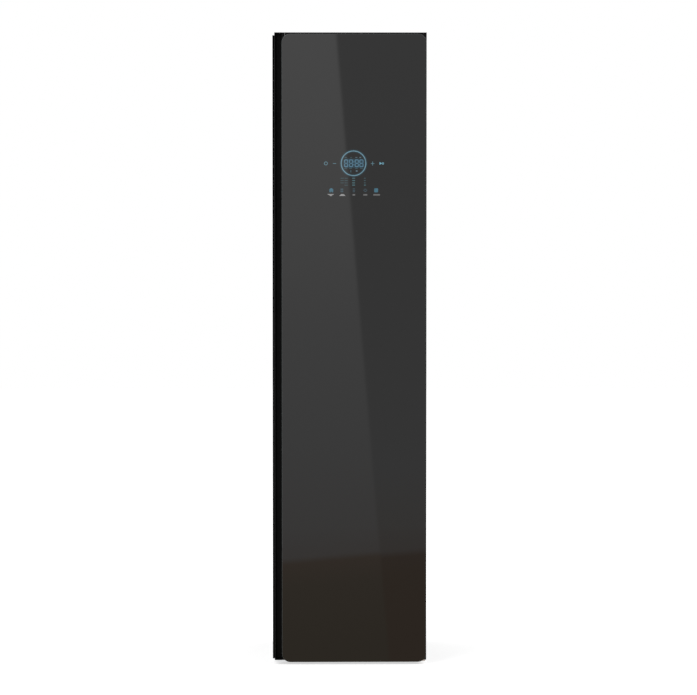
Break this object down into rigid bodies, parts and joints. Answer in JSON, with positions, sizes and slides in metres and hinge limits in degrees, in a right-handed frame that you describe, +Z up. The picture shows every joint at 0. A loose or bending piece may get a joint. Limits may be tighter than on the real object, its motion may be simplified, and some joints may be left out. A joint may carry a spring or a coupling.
{
  "type": "clothes care steam cabinet",
  "caption": "Tall slim cabinet that steams and dries hanging clothes behind a black glass door on a side hinge, with water tanks and a heat pump below.",
  "frame": {"origin": "centre of the footprint, on the floor under the feet", "axes": "+Z up, -Y towards the user and the glass door, +X to the user's right, the hinge side"},
  "size_m": [0.45, 0.585, 1.85],
  "materials": {
    "black_paint": "satin powder coat",
    "zinc_sheet": "galvanised sheet",
    "black_glass": "tempered, back painted black",
    "black_mould": "fine moulded grain",
    "white_liner": "semi gloss",
    "grey_mould": "fine moulded grain",
    "clear_mould": "translucent, glossy",
    "foam": "rigid foam",
    "seal_rubber": "matt",
    "bright_steel": "turned and polished",
    "cast_aluminium": "as cast and as drawn",
    "copper_tube": "drawn copper",
    "black_enamel": "gloss enamel"
  },
  "bodies": {
    "cabinet": {"side_panel_left": "black_paint", "side_panel_right": "black_paint", "top_panel": "black_paint", "rear_cover": "zinc_sheet", "base_frame": "zinc_sheet", "front_frame": "white_liner", "inner_liner": "white_liner", "insulation_left": "foam", "insulation_right": "foam", "insulation_rear": "foam", "insulation_top": "foam", "top_hinge_plate": "bright_steel", "bottom_hinge_plate": "bright_steel", "top_hinge_cover": "black_mould", "chamber_floor": "grey_mould", "steam_nozzle": "black_mould", "lamp_lens": "clear_mould", "hanger_housing": "grey_mould", "guide_rod_front": "bright_steel", "guide_rod_rear": "bright_steel", "hanger_motor": "black_mould", "machine_deck": "zinc_sheet", "tank_bay": "grey_mould", "steam_boiler": "cast_aluminium", "steam_pipe": "seal_rubber", "water_pump": "black_mould", "drain_pump": "black_mould", "water_hose": "seal_rubber", "compressor": "black_enamel", "suction_pipe": "copper_tube", "air_duct": "grey_mould", "evaporator": "cast_aluminium", "condenser": "cast_aluminium", "blower_housing": "grey_mould", "blower_motor": "bright_steel", "control_box": "black_mould", "cord_gland": "black_mould"},
    "door": {"door_glass": "black_glass", "door_grip": "black_mould", "door_frame": "black_mould", "display_module": "grey_mould", "door_insulation": "foam", "door_inner_liner": "white_liner", "door_gasket": "seal_rubber", "top_hinge_bush": "grey_mould", "bottom_hinge_bush": "grey_mould"},
    "hanger_bar": {"hanger_bar": "bright_steel"},
    "hanger_rocker": {"hanger_rocker": "bright_steel"},
    "fan_impeller": {"fan_impeller": "black_mould"},
    "water_tank": {"water_tank": "clear_mould", "water_tank_lid": "grey_mould"},
    "drain_tank": {"drain_tank": "clear_mould", "drain_tank_lid": "grey_mould"},
    "lint_filter": {"lint_filter": "grey_mould"},
    "shelf": {"shelf": "grey_mould"},
    "foot_front_left": {"foot_front_left": "grey_mould"},
    "foot_front_right": {"foot_front_right": "grey_mould"},
    "foot_rear_left": {"foot_rear_left": "grey_mould"},
    "foot_rear_right": {"foot_rear_right": "grey_mould"}
  },
  "joints": [
    {"name": "door_hinge", "type": "hinge", "parent": "cabinet", "child": "door", "pos_m": [0.213, -0.264, 0.9], "axis": [0, 0, 1], "range_deg": [0, 105]},
    {"name": "hanger_bar_slide", "type": "slide", "parent": "cabinet", "child": "hanger_bar", "axis": [1, 0, 0], "range_m": [-0.0165, 0.0165]},
    {"name": "hanger_rocker_turn", "type": "hinge", "parent": "cabinet", "child": "hanger_rocker", "pos_m": [0, 0.06, 1.749], "axis": [0, 0, 1], "range_deg": [-25, 25]},
    {"name": "fan_spin", "type": "hinge", "parent": "cabinet", "child": "fan_impeller", "pos_m": [0.13, 0.178, 0.428], "axis": [1, 0, 0], "continuous": true},
    {"name": "water_tank_slide", "type": "slide", "parent": "cabinet", "child": "water_tank", "axis": [0, -1, 0], "range_m": [0, 0.032]},
    {"name": "drain_tank_slide", "type": "slide", "parent": "cabinet", "child": "drain_tank", "axis": [0, -1, 0], "range_m": [0, 0.032]},
    {"name": "lint_filter_lift", "type": "slide", "parent": "cabinet", "child": "lint_filter", "axis": [0, 0, 1], "range_m": [0, 0.11]},
    {"name": "shelf_slide", "type": "slide", "parent": "cabinet", "child": "shelf", "axis": [0, -1, 0], "range_m": [0, 0.03]},
    {"name": "foot_front_left_turn", "type": "hinge", "parent": "cabinet", "child": "foot_front_left", "pos_m": [-0.175, -0.1505, 0.01], "axis": [0, 0, 1], "continuous": true},
    {"name": "foot_front_right_turn", "type": "hinge", "parent": "cabinet", "child": "foot_front_right", "pos_m": [0.175, -0.1505, 0.01], "axis": [0, 0, 1], "continuous": true},
    {"name": "foot_rear_left_turn", "type": "hinge", "parent": "cabinet", "child": "foot_rear_left", "pos_m": [-0.175, 0.2405, 0.01], "axis": [0, 0, 1], "continuous": true},
    {"name": "foot_rear_right_turn", "type": "hinge", "parent": "cabinet", "child": "foot_rear_right", "pos_m": [0.175, 0.2405, 0.01], "axis": [0, 0, 1], "continuous": true}
  ],
  "couplings": [
    {"joint": "hanger_rocker_turn", "follows": "hanger_bar_slide", "rad_per_m": 25.81}
  ]
}
